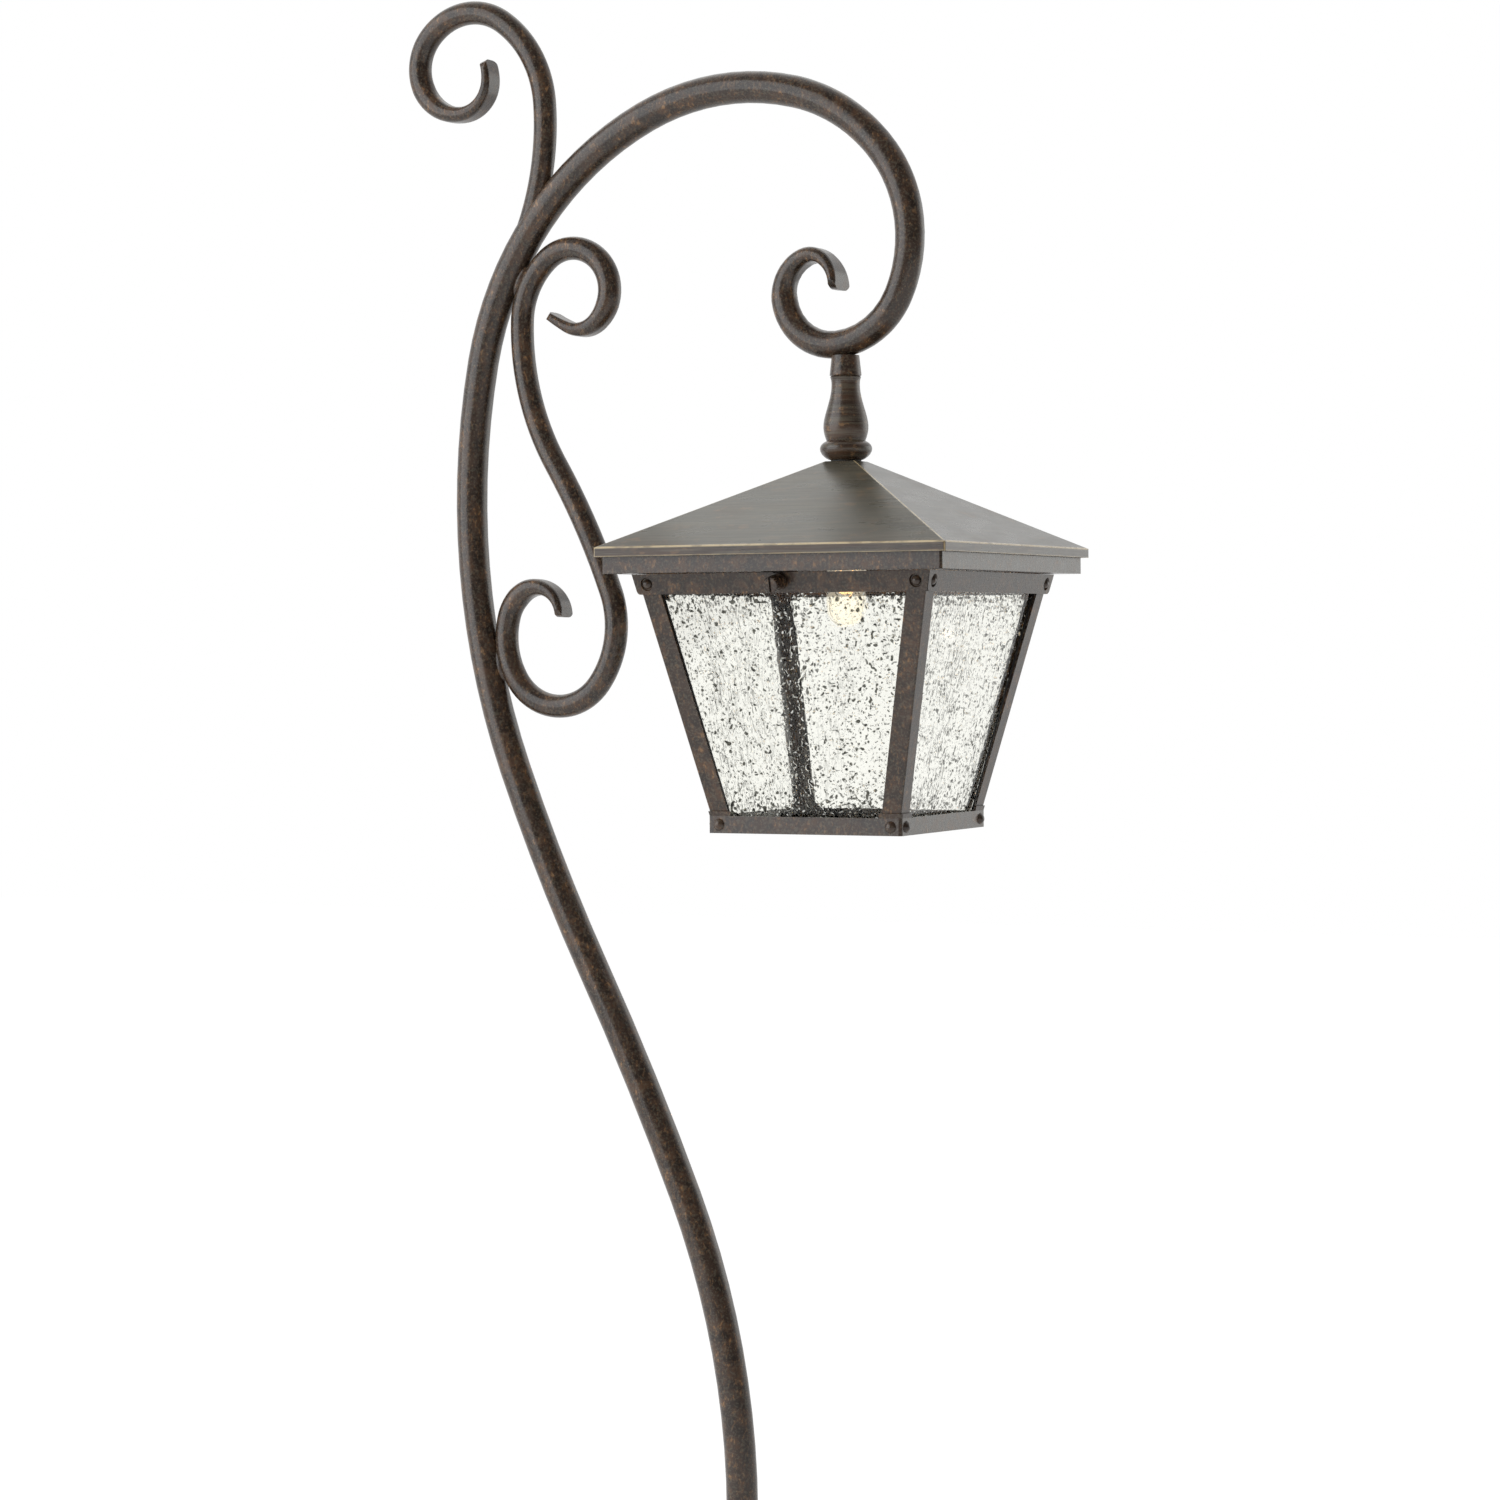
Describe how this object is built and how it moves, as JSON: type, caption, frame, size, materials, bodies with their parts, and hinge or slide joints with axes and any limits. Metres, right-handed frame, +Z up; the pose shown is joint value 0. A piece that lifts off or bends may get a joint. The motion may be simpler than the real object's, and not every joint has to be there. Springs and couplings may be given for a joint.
{
  "type": "garden path lantern",
  "caption": "Four-sided tapered glass garden path lantern with a pyramid roof, hung from a scrolled bent-tube crook on a ground spike.",
  "frame": {"origin": "where the stem's axis leaves the ground, at the rim of the spike's hub", "axes": "+Z up along the stem, +X from the stem towards the lantern in the crook's plane, +Y to the back"},
  "size_m": [0.2724, 0.1474, 0.855],
  "materials": {
    "bronze": "semi-gloss rubbed bronze paint",
    "hardware": "plain zinc-plated or brass thread parts",
    "glass": "clear seeded glass",
    "lamp_glass": "clear",
    "spike": "moulded black plastic",
    "rubber": "matt",
    "phenolic": "moulded",
    "steel": "plain"
  },
  "bodies": {
    "lantern_frame": {"ground_spike": "spike", "cable_grommet": "rubber", "hub_cap": "spike", "hub_seal": "rubber", "stem_set_screws": "steel", "terminal_block": "phenolic", "terminal_screws": "hardware", "crook_tube": "bronze", "top_scroll": "bronze", "s_scroll": "bronze", "scroll_welds": "bronze", "hanger_boss": "bronze", "hanger_nipple": "hardware", "hanger_baluster": "bronze", "bead_ring": "bronze", "roof_gasket": "rubber", "roof_cap": "bronze", "roof_skirt": "bronze", "nipple_washer": "steel", "nipple_nut": "hardware", "strap_locknut": "hardware", "lamp_strap": "steel", "lamp_socket": "phenolic", "socket_contacts": "hardware", "socket_screw": "steel", "internal_leads": "rubber", "tab_nuts": "steel"},
    "cage": {"cage_foot": "bronze", "upper_rivets": "bronze", "lower_rivets": "bronze", "pane_clips": "steel", "top_band_front": "bronze", "glass_front": "glass", "top_band_right": "bronze", "glass_right": "glass", "top_band_rear": "bronze", "glass_rear": "glass", "top_band_left": "bronze", "glass_left": "glass", "post_rear_right": "bronze", "post_rear_left": "bronze", "post_front_left": "bronze", "post_front_right": "bronze"},
    "lamp": {"lamp_glass": "lamp_glass", "lamp_filament": "steel"},
    "washer_front": {"screw_washer_front": "bronze"},
    "washer_rear": {"screw_washer_rear": "bronze"},
    "screw_front": {"thumb_screw_front": "bronze"},
    "screw_rear": {"thumb_screw_rear": "bronze"}
  },
  "joints": [
    {"name": "cage_drop", "type": "slide", "parent": "lantern_frame", "child": "cage", "axis": [0, 0, -1], "range_m": [0, 0.11]},
    {"name": "lamp_pull", "type": "slide", "parent": "lantern_frame", "child": "lamp", "axis": [0, 0, -1], "range_m": [0, 0.012]},
    {"name": "screw_front_travel", "type": "slide", "parent": "lantern_frame", "child": "washer_front", "axis": [0, -0.9758, -0.2185], "range_m": [-0.0007, 0.004]},
    {"name": "screw_front_turn", "type": "hinge", "parent": "washer_front", "child": "screw_front", "pos_m": [0.04864, -0.06211, 0.39731], "axis": [0, -0.9758, -0.2185], "range_deg": [-509, 2885]},
    {"name": "screw_rear_travel", "type": "slide", "parent": "lantern_frame", "child": "washer_rear", "axis": [0, 0.9758, -0.2185], "range_m": [-0.0007, 0.004]},
    {"name": "screw_rear_turn", "type": "hinge", "parent": "washer_rear", "child": "screw_rear", "pos_m": [0.04864, 0.06211, 0.39731], "axis": [0, 0.9758, -0.2185], "range_deg": [-509, 2885]}
  ],
  "couplings": [
    {"joint": "screw_front_turn", "follows": "screw_front_travel", "rad_per_m": 12566},
    {"joint": "screw_rear_turn", "follows": "screw_rear_travel", "rad_per_m": 12566}
  ]
}
